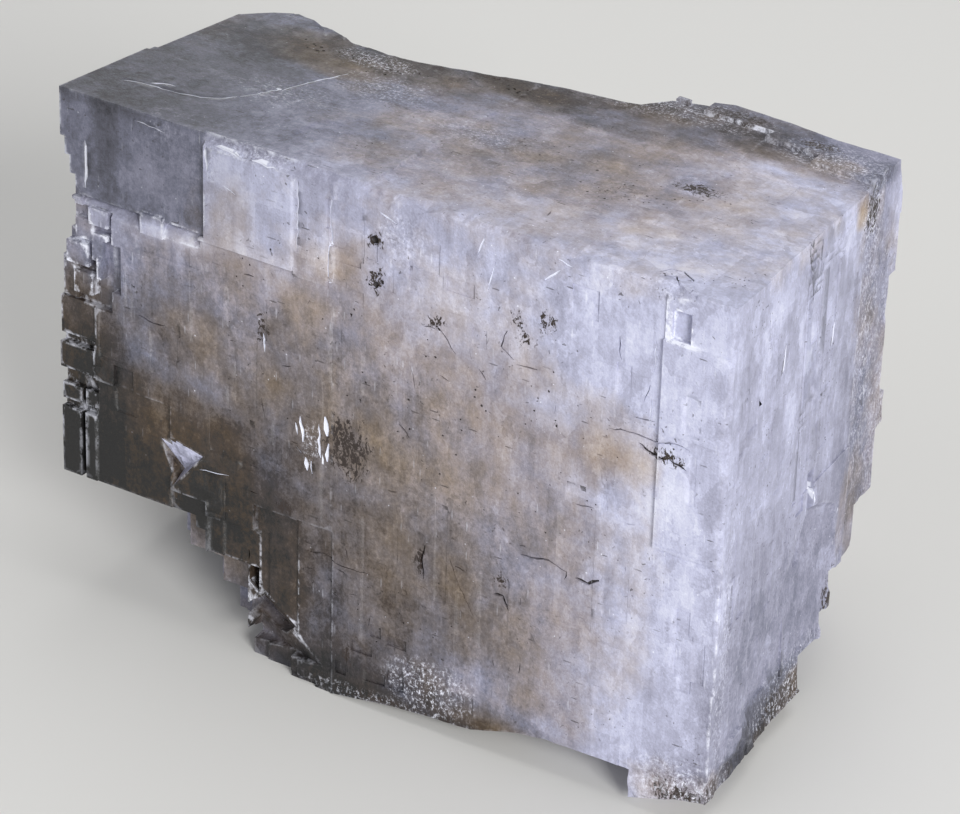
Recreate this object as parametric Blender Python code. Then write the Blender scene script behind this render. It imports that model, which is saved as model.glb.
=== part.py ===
"""Magnesite: one cleavage block, broken at its back and at its lower left corner.

The block is laid out in its own crystal axes, in millimetres from its front top right corner:
a runs left along the top front edge, b runs back along the top right edge and c runs down the
front right edge. Every cleavage face holds two of these directions, so a box in (a, b, c) is a
cleavage rhomb in space.
"""
import math
import random

import bmesh
import bpy
from mathutils import Matrix, Vector, noise

MM = 0.001
FACE_ANGLE = math.radians(103.34)   # plane angle of a magnesite cleavage face at its blunt corner
LENGTH = 80.6                       # along a
DEPTH = 49.0                        # along b
HEIGHT = 60.6                       # along c, slanted, down to the face it rests on
STEP = 0.5                          # how far the highest cleavage plates stand above the faces
BEYOND = 12.0                       # how far the cutters reach outside the block

# Where the broken back meets the top face: (a, b).
BACK_RIM = [(-BEYOND, 46.2), (0.0, 46.2), (8.0, 46.0), (15.5, 47.0), (22.0, 47.3), (26.0, 45.4),
            (28.3, 45.1), (31.5, 40.0), (40.7, 38.5), (49.6, 35.6), (57.5, 33.2), (65.0, 33.4),
            (70.0, 35.4), (74.9, 36.6), (78.0, 33.8), (79.8, 30.6), (LENGTH + BEYOND, 24.0)]
BACK_SLOPE = 0.25                   # how fast the break runs back to the full depth below the rim

# Plates of the top face: (a from, a to, b from, b to, c of the plate).
TOP_PLATES = [(-BEYOND, 8.6, -BEYOND, 38.3, 0.0),
              (8.4, 15.5, -BEYOND, 41.0, 0.04),
              (15.4, 42.6, -BEYOND, 43.3, 0.0),
              (-BEYOND, 18.0, -BEYOND, 12.3, 0.14),
              (24.3, 42.7, 43.2, DEPTH + BEYOND, 0.03),
              (42.5, LENGTH + BEYOND, 15.2, DEPTH + BEYOND, -0.03),
              (42.4, LENGTH + BEYOND, -BEYOND, 15.3, -0.25)]

# Plates of the front face: (a from, a to, c from, c to, b of the plate).
FRONT_PLATES = [(61.7, LENGTH + BEYOND, -BEYOND, 11.35, 0.2),
                (50.8, LENGTH + BEYOND, 11.75, HEIGHT + BEYOND, 0.0),
                (45.9, 50.9, -BEYOND, 12.4, -0.22),
                (45.9, 50.9, 12.3, HEIGHT + BEYOND, 0.0),
                (7.5, 46.0, -BEYOND, HEIGHT + BEYOND, 0.05),
                (-BEYOND, 7.6, -BEYOND, 5.7, -0.1),
                (-BEYOND, 7.7, 29.0, HEIGHT + BEYOND, 0.05),
                (4.6, 6.8, 2.3, 5.6, 0.55),
                (66.35, 76.2, 32.5, HEIGHT + BEYOND, 0.45),
                (61.9, 66.5, 42.6, HEIGHT + BEYOND, 0.6),
                (55.5, 62.0, 44.2, HEIGHT + BEYOND, 0.9),
                (50.2, 55.7, 40.8, HEIGHT + BEYOND, 0.6),
                (45.8, 50.3, 40.7, HEIGHT + BEYOND, 0.3)]

# The stacked thin blocks down the left end of the front face: (c from, c to, b of the block).
LEFT_COLUMN = [(23.8, 28.4, 0.5), (28.3, 29.3, 1.2), (29.2, 32.4, 0.2), (32.3, 34.3, 1.3),
               (34.2, 36.3, 0.5), (36.2, 37.1, 1.1), (37.0, HEIGHT + BEYOND, 0.3)]
COLUMN_EDGE = 75.9

# Bevels along a: (a from, a to, b and c where they start, b and c where they run out, and the
# c up to which the bevel clears the edge above it).
LONG_BEVELS = [(41.0, 61.8, (0.6, -0.1), (-0.5, 1.15), -1.6),
               (62.4, 77.2, (1.3, 11.3), (0.0, 12.8), 11.3)]

# The notch in the front left edge: (a from, c from, c to), all of it NOTCH_DEPTH deep.
NOTCH = [(79.5, 5.2, 18.4), (78.9, 7.2, 15.8), (78.2, 9.2, 12.6)]
NOTCH_DEPTH = 2.7

# Small rhombs standing in the left end below the notch: (a from, a to, b from, c from, c to).
SMALL_RHOMBS = [(74.0, 76.4, -0.1, 12.3, 14.2), (76.0, 78.3, 0.2, 14.0, 16.3),
                (74.3, 76.2, 0.1, 15.2, 18.4), (76.6, 79.4, 0.0, 16.9, 19.4),
                (73.9, 75.4, -0.2, 17.9, 20.3), (76.1, 78.4, -0.1, 20.1, 22.6),
                (78.1, 80.0, 0.3, 18.9, 23.5), (67.0, 69.8, -0.2, 10.9, 13.4)]
RHOMB_BED = (73.6, LENGTH + BEYOND, 12.4, 23.9, 1.1)

# Steps of the broken lower left corner: (a from, b to, c from). All beyond them is gone.
CORNER_STEPS = [(71.5, 4.4, 45.9), (63.5, 4.2, 45.0), (62.3, 4.0, 46.4), (57.0, 4.1, 48.9),
                (55.0, 2.2, 56.8), (51.2, 1.9, 58.0), (47.9, 0.7, 59.9),
                (66.8, 9.3, 46.9), (62.4, 9.0, 51.4), (58.6, 8.7, 54.3), (57.2, 6.5, 57.4),
                (73.8, 16.3, 49.6), (68.6, 16.1, 51.0), (65.9, 16.0, 53.6), (63.6, 15.7, 57.2),
                (75.9, 24.3, 54.9), (69.9, 24.0, 58.6)]

# Chips off the right rear edge: (a to, b from, c from, c to).
REAR_CHIPS = [(1.2, 47.3, 6.5, 13.8), (2.2, 45.3, 13.6, 17.2), (2.0, 45.4, 17.0, 28.8),
              (2.6, 47.0, 28.0, 33.6), (3.2, 44.9, 33.0, 41.0), (5.2, 39.7, 40.6, 66.0),
              (6.6, 33.0, 46.0, 66.5), (7.4, 31.0, 50.3, 67.0), (9.4, 25.9, 53.4, 67.5)]

# Terraces of the right face: (b from, b to, c from, c to, a of the terrace).
RIGHT_TERRACES = [(8.3, 36.0, -BEYOND, HEIGHT + BEYOND, 0.0),
                  (19.0, DEPTH + BEYOND, -BEYOND, 31.0, 0.2),
                  (35.9, DEPTH + BEYOND, -BEYOND, HEIGHT + BEYOND, 0.35),
                  (-BEYOND, 8.4, 44.0, HEIGHT + BEYOND, -0.1)]
RIGHT_PRISM = (5.2, 7.8, 51.9, 57.0)

# A small peak on the back rim: (a from, a to, b from, b to, c from, c to).
RIM_PEAK = (26.7, 28.3, 44.2, 45.15, -0.48, 2.0)


def crystal_matrix():
    """The crystal axes in space, with a and b level."""
    skew = math.cos(FACE_ANGLE)
    a_axis = Vector((-1.0, 0.0, 0.0))
    b_axis = Vector((-skew, math.sqrt(1.0 - skew * skew), 0.0))
    c_y = (skew + skew * b_axis.x) / b_axis.y
    c_axis = Vector((-skew, c_y, -math.sqrt(1.0 - skew * skew - c_y * c_y)))
    return Matrix((a_axis, b_axis, c_axis)).transposed().to_4x4()


CRYSTAL = Matrix.Scale(MM, 4) @ crystal_matrix()


def add_object(name, shape, collection):
    """Turn a bmesh laid out in crystal axes into an object in space."""
    bmesh.ops.recalc_face_normals(shape, faces=shape.faces)
    mesh = bpy.data.meshes.new(name)
    shape.to_mesh(mesh)
    shape.free()
    mesh.transform(CRYSTAL)
    obj = bpy.data.objects.new(name, mesh)
    collection.objects.link(obj)
    return obj


def rhomb(name, a, b, c, collection):
    """A box in crystal axes, from the low to the high value of each."""
    shape = bmesh.new()
    size = Vector((a[1] - a[0], b[1] - b[0], c[1] - c[0]))
    middle = Vector((a[0] + a[1], b[0] + b[1], c[0] + c[1])) / 2.0
    placed = Matrix.Translation(middle) @ Matrix.Diagonal(size).to_4x4()
    bmesh.ops.create_cube(shape, size=1.0, matrix=placed)
    return add_object(name, shape, collection)


def wedge(name, corners, collection):
    """The convex shape around a few corners in crystal axes."""
    shape = bmesh.new()
    for corner in corners:
        shape.verts.new(corner)
    hull = bmesh.ops.convex_hull(shape, input=shape.verts)
    spare = {item for item in hull["geom_interior"] + hull["geom_unused"]
             if isinstance(item, bmesh.types.BMVert)}
    bmesh.ops.delete(shape, geom=list(spare), context="VERTS")
    return add_object(name, shape, collection)


def ridge(name, a, profile, collection):
    """A convex outline in (b, c) run along a."""
    corners = [(along, b, c) for along in a for b, c in profile]
    return wedge(name, corners, collection)


def edge_chip(name, pairs, push, collection):
    """Break an edge off along a band: pairs of points where the band starts and ends."""
    corners = []
    for start, end in pairs:
        start, end = Vector(start), Vector(end)
        reach = (start - end) * 0.5
        for corner in (start + reach, end - reach):
            corners += [corner, corner + Vector(push)]
    return wedge(name, corners, collection)


def rim_depth(a):
    """Depth of the broken back at the top face."""
    for (a0, b0), (a1, b1) in zip(BACK_RIM, BACK_RIM[1:]):
        if a <= a1:
            return b0 + (b1 - b0) * (a - a0) / (a1 - a0)
    return BACK_RIM[-1][1]


def break_depth(a, c):
    """Depth of the broken back: the rim on top, running out below it in rough steps."""
    depth = rim_depth(a) + BACK_SLOPE * max(c, 0.0)
    coarse = noise.noise(Vector((a / 13.0, c / 11.0, 3.0)))
    fine = noise.noise(Vector((a / 5.0, c / 4.5, 8.0)))
    settled = min(max(c, 0.0) / 8.0, 1.0)
    depth += settled * (3.6 * coarse + 1.8 * fine)
    return min(depth, DEPTH - 1.2 + 1.1 * fine)


def rough_sheet(name, grid, place, push, collection):
    """A sheet laid over a grid of (u, v) from 0 to 1, thickened outwards into a cutter."""
    shape = bmesh.new()
    bmesh.ops.create_grid(shape, x_segments=grid[0], y_segments=grid[1], size=0.5)
    for vert in shape.verts:
        vert.co = Vector(place(vert.co.x + 0.5, vert.co.y + 0.5))
    sheet = bmesh.ops.extrude_face_region(shape, geom=list(shape.faces))
    for item in sheet["geom"]:
        if isinstance(item, bmesh.types.BMVert):
            item.co += Vector(push)
    return add_object(name, shape, collection)


def rough(u, v, coarse, fine, seed):
    """Uneven relief of a break, about one high either way."""
    return (0.65 * noise.noise(Vector((u / coarse, v / coarse, seed)))
            + 0.55 * noise.noise(Vector((u / fine, v / fine, seed + 5.0)))) * 1.6


def broken_back(collection):
    """The rough wall behind the block."""
    def place(u, v):
        a = LENGTH / 2.0 + (u - 0.5) * (LENGTH + 2.0 * BEYOND - 4.0)
        c = HEIGHT / 2.0 + (v - 0.5) * (HEIGHT + BEYOND)
        return (a, break_depth(a, c), c)
    rough_sheet("broken_back", (44, 22), place, (0.0, 30.0, 0.0), collection)


def rough_bands(collection):
    """Crumbled bands: right rear edge, back rim, the soft front edges, the lower right corner."""
    def right_rear(u, v):
        b = 34.6 + 16.0 * u + 1.2 * noise.noise(Vector((v * 9.0, 0.0, 2.0)))
        c = -BEYOND + (HEIGHT + 2.0 * BEYOND) * v
        settled = min(u * 5.0, 1.0)
        return (-0.5 + settled * (0.75 + 0.6 * rough(b, c, 5.0, 2.4, 1.0)), b, c)

    def back_rim(u, v):
        a = 43.0 + 32.0 * u
        settled = min(v * 2.5, 1.0)
        b = rim_depth(a) - 4.0 + 9.0 * v
        return (a, b, -0.4 + settled * (0.35 + 0.5 * rough(a, b, 3.5, 1.9, 4.0)))

    def top_front(u, v):
        a = 4.2 + 37.0 * u
        reach = 2.6 + 2.2 * rough(a, 0.0, 6.0, 3.0, 9.0)
        drop = 1.0 + 0.6 * rough(a, 0.0, 5.0, 2.0, 15.0)
        swell = 0.3 * rough(a, 6.0 * v, 3.0, 1.6, 21.0)
        return (a, (1.0 - v) * (reach + 0.9) - 0.9 + swell, v * (drop + 0.7) - 0.7 + swell)

    def front_right(u, v):
        c = 1.5 + (HEIGHT + 6.0) * u
        reach = 0.55 + 0.4 * rough(c, 0.0, 6.0, 2.5, 27.0) + 0.3 * max(c - 53.5, 0.0)
        swell = 0.12 * rough(c, 6.0 * v, 3.0, 1.6, 33.0)
        return ((1.0 - v) * (reach + 0.7) - 0.7 + swell, v * (reach + 0.7) - 0.7 + swell, c)

    def corner_front(u, v):
        a = -2.0 + 12.4 * u
        c = 54.2 + 14.0 * v
        settled = min(v * 7.0, 1.0)
        return (a, -0.5 + settled * (0.66 + 0.4 * rough(a, c, 2.6, 1.3, 39.0)), c)

    def corner_right(u, v):
        b = -2.0 + 13.0 * u
        c = 53.0 + 15.0 * v
        settled = min(v * 6.0, 1.0)
        return (-0.6 + settled * (0.7 + 0.45 * rough(b, c, 2.6, 1.3, 45.0)), b, c)

    rough_sheet("corner_front_band", (16, 18), corner_front, (0.0, -9.0, 0.0), collection)
    rough_sheet("corner_right_band", (16, 18), corner_right, (-9.0, 0.0, 0.0), collection)
    rough_sheet("right_rear_band", (12, 36), right_rear, (-20.0, 0.0, 0.0), collection)
    rough_sheet("back_rim_band", (24, 8), back_rim, (0.0, 0.0, -9.0), collection)
    rough_sheet("top_front_band", (26, 4), top_front, (0.0, -4.0, -4.0), collection)
    rough_sheet("front_right_band", (34, 3), front_right, (-4.0, -4.0, 0.0), collection)


def rear_steps(collection):
    """Cleavage steps scattered down the broken back and along the left end."""
    rng = random.Random(41)
    for index in range(16):
        a = rng.uniform(2.0, 70.0)
        wide = rng.uniform(4.0, 13.0)
        c = rng.uniform(6.0, 44.0)
        tall = rng.uniform(4.0, 12.0)
        depth = break_depth(a + wide / 2.0, c + tall / 2.0) - rng.uniform(0.8, 2.6)
        rhomb(f"rear_step_{index}", (a, a + wide), (depth, DEPTH + BEYOND),
              (c, c + tall), collection)
    for index in range(6):
        b = rng.uniform(5.0, 34.0)
        c = rng.uniform(2.0, 40.0)
        face = LENGTH - rng.uniform(0.3, 1.1)
        rhomb(f"left_step_{index}", (face, LENGTH + BEYOND), (b, b + rng.uniform(4.0, 11.0)),
              (c, c + rng.uniform(5.0, 16.0)), collection)


def cut_plates(collection):
    """Thin boxes that take the faces down to their cleavage plates."""
    for index, (a0, a1, b0, b1, c) in enumerate(TOP_PLATES):
        rhomb(f"top_plate_{index}", (a0, a1), (b0, b1), (-BEYOND, c), collection)
    for index, (a0, a1, c0, c1, b) in enumerate(FRONT_PLATES):
        rhomb(f"front_plate_{index}", (a0, a1), (-BEYOND, b), (c0, c1), collection)
    for index, (c0, c1, b) in enumerate(LEFT_COLUMN):
        edge = COLUMN_EDGE + 0.15 * (index % 3)
        rhomb(f"left_block_{index}", (edge, LENGTH + BEYOND), (-BEYOND, b), (c0, c1), collection)
    rhomb("left_end", (80.05, LENGTH + BEYOND), (-BEYOND, DEPTH), (-BEYOND, 19.3), collection)
    rhomb("column_groove", (77.6, 78.2), (-BEYOND, 1.6), (33.2, HEIGHT), collection)
    a0, a1, c0, c1, b = RHOMB_BED
    rhomb("rhomb_bed", (a0, a1), (-BEYOND, b), (c0, c1), collection)
    for index, (b0, b1, c0, c1, a) in enumerate(RIGHT_TERRACES):
        rhomb(f"right_terrace_{index}", (-BEYOND, a), (b0, b1), (c0, c1), collection)
    for index, (a0, a1, start, end, above) in enumerate(LONG_BEVELS):
        profile = [start, end, (-3.0, end[1]), (-3.0, above), (start[0], above)]
        ridge(f"long_bevel_{index}", (a0, a1), profile, collection)
    for index, (a, c0, c1) in enumerate(NOTCH):
        rhomb(f"notch_{index}", (a, LENGTH + BEYOND), (-BEYOND, NOTCH_DEPTH - 0.3 * index),
              (c0, c1), collection)


def cut_corner(collection):
    """The broken lower left corner and the chips off the right rear edge."""
    for index, (a, b, c) in enumerate(CORNER_STEPS):
        rhomb(f"corner_step_{index}", (a, LENGTH + BEYOND), (-BEYOND, b),
              (c, HEIGHT + BEYOND), collection)
    rhomb("corner_notch", (55.6, 57.0), (-BEYOND, 3.8), (48.9, 52.0), collection)
    for index, (a, b, c0, c1) in enumerate(REAR_CHIPS):
        rhomb(f"rear_chip_{index}", (-BEYOND, a), (b, DEPTH + BEYOND), (c0, c1), collection)


def chip_edges(collection):
    """The oblique breaks: corner facets, chipped lower edges and the pit."""
    wedge("corner_facet", [(54.0, 0.0, 51.0), (46.3, 0.0, 57.6), (57.5, 4.2, 58.6),
                           (54.0, -9.0, 51.0), (46.3, -9.0, 57.6), (60.0, -9.0, 60.0)], collection)
    wedge("corner_facet_dark", [(54.2, 0.4, 51.4), (50.6, 0.6, 54.2), (57.4, 4.4, 54.6),
                                (52.6, 3.4, 56.6), (55.0, -6.0, 50.6), (51.0, -6.0, 53.8),
                                (59.0, -6.0, 55.0)], collection)
    wedge("pit", [(69.2, -0.4, 34.6), (61.3, -0.4, 36.4), (66.1, -0.4, 42.3),
                  (65.7, 1.7, 40.5)], collection)
    edge_chip("front_chip_left", [((47.0, 0.0, 60.7), (46.0, 2.0, HEIGHT)),
                                  ((33.0, 0.0, 59.4), (33.0, 5.5, HEIGHT)),
                                  ((28.0, 0.0, 58.5), (28.0, 8.0, HEIGHT))],
              (0.0, -3.0, 9.0), collection)
    edge_chip("front_chip_right", [((29.5, 0.0, 58.9), (29.5, 7.0, HEIGHT)),
                                   ((19.1, 0.0, 56.3), (20.0, 12.0, HEIGHT)),
                                   ((9.1, 0.0, 56.2), (9.1, 12.0, HEIGHT))],
              (0.0, -3.0, 9.0), collection)
    edge_chip("lump_chip", [((9.5, 0.0, 59.8), (9.5, 2.5, HEIGHT)),
                            ((4.0, 0.0, 59.5), (4.5, 4.0, HEIGHT)),
                            ((0.0, 0.0, 57.1), (2.5, 5.5, HEIGHT))], (-3.0, -4.0, 9.0), collection)
    edge_chip("right_chip", [((0.0, -3.0, 57.6), (3.2, -3.0, HEIGHT)),
                             ((0.0, 14.0, 58.4), (3.2, 14.0, HEIGHT)),
                             ((0.0, 28.0, 57.7), (4.4, 28.0, HEIGHT))], (-4.0, 0.0, 9.0), collection)
    wedge("shell_break", [(-3.0, 23.0, 31.0), (-3.0, 5.5, 50.0), (-3.0, 10.0, 59.5),
                          (-3.0, 30.0, 59.0), (-3.0, 38.0, 46.0), (-3.0, 35.0, 34.0),
                          (1.5, 24.6, 34.8), (1.4, 10.8, 50.5), (0.4, 14.0, 58.4),
                          (0.4, 28.0, 57.4), (0.3, 34.0, 46.0), (0.3, 32.0, 37.0)], collection)
    wedge("corner_chip", [(-2.0, -2.0, 2.0), (2.2, -2.0, 3.2), (-2.0, 1.6, 3.0),
                          (-2.0, -2.0, 9.2), (0.4, -2.0, 8.6)], collection)
    wedge("left_rim_chip", [(79.3, 17.0, -2.0), (79.0, 36.0, -2.0), (80.4, 16.0, 4.0),
                            (80.2, 38.0, 5.0), (95.0, 16.0, -2.0), (95.0, 38.0, -2.0)], collection)


def add_blocks(collection):
    """Small rhombs that stand on the faces."""
    for index, (a0, a1, b, c0, c1) in enumerate(SMALL_RHOMBS):
        rhomb(f"small_rhomb_{index}", (a0, a1), (b, 3.0), (c0, c1), collection)
    b0, b1, c0, c1 = RIGHT_PRISM
    rhomb("right_prism", (-0.55, 2.0), (b0, b1), (c0, c1), collection)
    a0, a1, b0, b1, c0, c1 = RIM_PEAK
    rhomb("rim_peak", (a0, a1), (b0, b1), (c0, c1), collection)


def boolean(obj, name, operation, collection):
    """Cut or join all that a collection holds."""
    modifier = obj.modifiers.new(name, "BOOLEAN")
    modifier.operation = operation
    modifier.operand_type = "COLLECTION"
    modifier.collection = collection
    modifier.solver = "EXACT"


def boolean_each(obj, operation, collection):
    """Cut or join one object after another. Rough sheets need the manifold solver."""
    for other in collection.objects:
        modifier = obj.modifiers.new(other.name, "BOOLEAN")
        modifier.operation = operation
        modifier.object = other
        modifier.solver = "MANIFOLD"


def material(name, color, roughness):
    """Translucent white mineral with a glassy cleavage surface."""
    made = bpy.data.materials.new(name)
    made.use_nodes = True
    shader = made.node_tree.nodes["Principled BSDF"]
    shader.inputs["Base Color"].default_value = color
    shader.inputs["Roughness"].default_value = roughness
    shader.inputs["Metallic"].default_value = 0.0
    return made


def new_collection(name):
    made = bpy.data.collections.new(name)
    bpy.context.scene.collection.children.link(made)
    return made


def hide_guides(collection):
    for obj in collection.objects:
        obj.hide_render = True
        obj.display_type = "WIRE"


for old in list(bpy.data.objects):
    bpy.data.objects.remove(old, do_unlink=True)

parts = new_collection("magnesite")
breaks = new_collection("magnesite_breaks")
cutters = new_collection("magnesite_cutters")
blocks = new_collection("magnesite_blocks")
chips = new_collection("magnesite_chips")
trims = new_collection("magnesite_trims")

crystal = rhomb("magnesite_crystal", (-0.3, LENGTH), (-0.4, DEPTH), (-STEP, HEIGHT + 6.0), parts)
broken_back(breaks)
rear_steps(cutters)
cut_plates(cutters)
cut_corner(cutters)
rough_bands(chips)
chip_edges(chips)
add_blocks(blocks)
rhomb("rest_cut", (-30.0, LENGTH + 30.0), (-30.0, DEPTH + 30.0), (HEIGHT, HEIGHT + 20.0), trims)
boolean_each(crystal, "DIFFERENCE", breaks)
boolean(crystal, "cleavage", "DIFFERENCE", cutters)
boolean_each(crystal, "UNION", blocks)
boolean_each(crystal, "DIFFERENCE", chips)
boolean(crystal, "rest face", "DIFFERENCE", trims)
for guides in (breaks, cutters, blocks, chips, trims):
    hide_guides(guides)

crystal.data.materials.append(material("magnesite", (0.61, 0.60, 0.66, 1.0), 0.32))

# The origin goes under the middle of the block, on the face it rests on.
depsgraph = bpy.context.evaluated_depsgraph_get()
shaped = crystal.evaluated_get(depsgraph).data
low = Vector([min(vert.co[axis] for vert in shaped.vertices) for axis in range(3)])
high = Vector([max(vert.co[axis] for vert in shaped.vertices) for axis in range(3)])
foot = Vector(((low.x + high.x) / 2.0, (low.y + high.y) / 2.0, low.z))
frame = bpy.data.objects.new("magnesite_frame", None)
parts.objects.link(frame)
frame.location = -foot
for obj in bpy.data.objects:
    if obj is not frame:
        obj.parent = frame
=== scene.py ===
"""A broken cleavage block of magnesite: cloudy, iron stained, clear and smoky at its left end."""
import math
import random

import bmesh
import bpy
import numpy as np
from mathutils import Matrix, Vector, noise
from mathutils.bvhtree import BVHTree
from mathutils.kdtree import KDTree


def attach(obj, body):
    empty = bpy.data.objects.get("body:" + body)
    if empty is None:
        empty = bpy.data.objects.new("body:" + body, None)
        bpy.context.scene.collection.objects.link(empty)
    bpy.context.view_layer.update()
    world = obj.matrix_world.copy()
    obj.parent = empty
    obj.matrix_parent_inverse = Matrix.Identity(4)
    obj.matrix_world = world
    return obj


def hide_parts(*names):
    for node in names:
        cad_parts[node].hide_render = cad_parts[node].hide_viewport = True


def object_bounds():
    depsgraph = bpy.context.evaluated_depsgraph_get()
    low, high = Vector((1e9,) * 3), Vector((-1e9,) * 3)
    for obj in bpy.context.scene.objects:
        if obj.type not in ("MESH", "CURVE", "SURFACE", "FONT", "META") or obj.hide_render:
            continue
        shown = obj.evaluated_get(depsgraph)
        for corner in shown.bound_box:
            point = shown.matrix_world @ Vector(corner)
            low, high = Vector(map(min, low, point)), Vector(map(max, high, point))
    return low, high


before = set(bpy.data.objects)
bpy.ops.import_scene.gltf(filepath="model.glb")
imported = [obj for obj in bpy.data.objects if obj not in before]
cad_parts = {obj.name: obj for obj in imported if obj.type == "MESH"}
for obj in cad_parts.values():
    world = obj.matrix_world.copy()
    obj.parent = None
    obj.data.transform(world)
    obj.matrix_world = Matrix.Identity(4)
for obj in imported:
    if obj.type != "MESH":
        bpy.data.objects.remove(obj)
solid_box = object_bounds()

# ---------------------------------------------------------------------------------------------
# Crystal axes. Magnesite splits along three faces whose edges meet at 103.34 degrees. Places on
# the block are in millimetres along its edges from its front top right corner: a runs left,
# b back and c down.
MM = 0.001
FACE_ANGLE = math.radians(103.34)
CORNER = Vector(solid_box[0]) + Vector((80.06, 17.61, 56.25)) * MM


def crystal_axes():
    """The three edge directions as the columns of a matrix, with a and b level."""
    skew = math.cos(FACE_ANGLE)
    b_axis = Vector((-skew, math.sqrt(1.0 - skew * skew), 0.0))
    c_y = (skew + skew * b_axis.x) / b_axis.y
    c_axis = Vector((-skew, c_y, -math.sqrt(1.0 - skew * skew - c_y * c_y)))
    return Matrix((Vector((-1.0, 0.0, 0.0)), b_axis, c_axis)).transposed().to_4x4()


TO_SPACE = Matrix.Translation(CORNER) @ Matrix.Scale(MM, 4) @ crystal_axes()
TO_CRYSTAL = TO_SPACE.inverted()
AXIS_OF = {"a": 0, "b": 1, "c": 2}

# ---------------------------------------------------------------------------------------------
# Camera. It looks down on the block's front right edge from about a fifth of a metre, a little
# turned about its own axis.
CAMERA_FROM_CORNER = Vector((17.8, -182.6, 107.5)) * MM
CAMERA_AZIMUTH = math.radians(13.19)
CAMERA_DROP = math.radians(34.80)
CAMERA_ROLL = math.radians(11.22)
CAMERA_LENS = 75.17

camera_data = bpy.data.cameras.new("camera")
camera_data.lens = CAMERA_LENS
camera_data.sensor_width = 36.0
camera_data.clip_start = 0.01
camera = bpy.data.objects.new("camera", camera_data)
bpy.context.collection.objects.link(camera)
camera.matrix_world = (Matrix.Translation(CORNER + CAMERA_FROM_CORNER)
                       @ Matrix.Rotation(CAMERA_AZIMUTH, 4, "Z")
                       @ Matrix.Rotation(math.pi / 2.0 - CAMERA_DROP, 4, "X")
                       @ Matrix.Rotation(CAMERA_ROLL, 4, "Z"))
bpy.context.scene.camera = camera


# ---------------------------------------------------------------------------------------------
# Studio. A plain pale floor, a soft key light from the right, weaker ones from the left front,
# from above and from behind, and a pale surround.
FLOOR_COLOR = "DAD9D6"
SURROUND_COLOR = "E4E6EA"
SURROUND_STRENGTH = 0.35
FLOOR_SIZE = 4.0
# Each light's name, place and size in metres, and power in watts.
LIGHTS = [("key", (1.24, -1.00, 0.82), 0.90, 26.0),
          ("fill", (-1.20, -1.10, 0.58), 1.20, 6.4),
          ("top", (-0.05, 0.30, 0.75), 0.60, 2.35),
          ("back", (-0.75, 1.35, 0.20), 0.60, 4.5)]


def linear(code):
    """A six digit sRGB colour as linear red, green, blue and alpha."""
    parts = [int(code[i:i + 2], 16) / 255.0 for i in (0, 2, 4)]
    return [p / 12.92 if p <= 0.04045 else ((p + 0.055) / 1.055) ** 2.4 for p in parts] + [1.0]


def add(tree, kind, inputs=None, **settings):
    """Add a node with its settings; inputs are values, or sockets to link. Returns its outputs."""
    made = tree.nodes.new("ShaderNode" + kind)
    for name, value in settings.items():
        setattr(made, name, value)
    for name, value in (inputs or {}).items():
        if isinstance(value, bpy.types.NodeSocket):
            tree.links.new(value, made.inputs[name])
        else:
            made.inputs[name].default_value = value
    return made.outputs


def new_material(name):
    """A material with an empty node tree."""
    made = bpy.data.materials.new(name)
    made.use_nodes = True
    made.node_tree.nodes.clear()
    return made


bpy.context.scene.view_settings.view_transform = "Standard"
surround = bpy.data.worlds.new("studio")
bpy.context.scene.world = surround
surround.use_nodes = True
surround.node_tree.nodes["Background"].inputs["Color"].default_value = linear(SURROUND_COLOR)
surround.node_tree.nodes["Background"].inputs["Strength"].default_value = SURROUND_STRENGTH

block_middle = Vector((0.0, 0.0, 0.028))
for light_name, place, size, power in LIGHTS:
    light_data = bpy.data.lights.new(light_name, "AREA")
    light_data.size = size
    light_data.energy = power
    light = bpy.data.objects.new(light_name, light_data)
    bpy.context.collection.objects.link(light)
    light.location = place
    light.rotation_euler = (block_middle - light.location).to_track_quat("-Z", "Y").to_euler()

bpy.ops.object.select_all(action="DESELECT")
bpy.ops.mesh.primitive_plane_add(size=FLOOR_SIZE, location=(0.0, 0.0, 0.0))
floor = bpy.context.object
floor.name = "floor"
floor_paint = new_material("matt_studio_paper")
floor_shade = add(floor_paint.node_tree, "BsdfPrincipled",
                  {"Base Color": linear(FLOOR_COLOR), "Roughness": 1.0,
                   "Specular IOR Level": 0.0})
add(floor_paint.node_tree, "OutputMaterial", {"Surface": floor_shade["BSDF"]})
floor.data.materials.append(floor_paint)

# ---------------------------------------------------------------------------------------------
# Crystal. One cleavage block of cloudy magnesite. Its skin is the solid's own, in which thin
# cleavage plates, cracks, splits and grain pits are cut; a fine net along the crystal axes then
# lets its faces lie uneven and its breaks crumble.

# Each face's normal axis, its two other axes, its plane in millimetres and its outward sign.
FACES = {"front": ("b", "a", "c", 0.0, -1.0), "top": ("c", "a", "b", 0.0, -1.0),
         "right": ("a", "b", "c", 0.0, -1.0), "back": ("b", "a", "c", 46.0, 1.0),
         "left": ("a", "b", "c", 80.0, 1.0)}


def on_face(face, along, across, height):
    """A place on a face from its two coordinates and the height above it, in millimetres."""
    normal, first, second, plane, outward = FACES[face]
    place = Vector((0.0, 0.0, 0.0))
    place[AXIS_OF[normal]] = plane + outward * height
    place[AXIS_OF[first]] = along
    place[AXIS_OF[second]] = across
    return place


def face_normal(face):
    """The outward direction of a face in space."""
    return Vector(TO_CRYSTAL.to_3x3()[AXIS_OF[FACES[face][0]]]).normalized() * FACES[face][4]


def height_over(face, place):
    """How far a place stands over the plane of a face, in millimetres."""
    return (place[AXIS_OF[FACES[face][0]]] - FACES[face][3]) * FACES[face][4]


# The solid's copy is merged, and what lies flat in it becomes one face.
MERGED = 0.002                      # points nearer than this are one
FLAT = math.radians(0.4)            # a turn of less than this is flat

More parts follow.
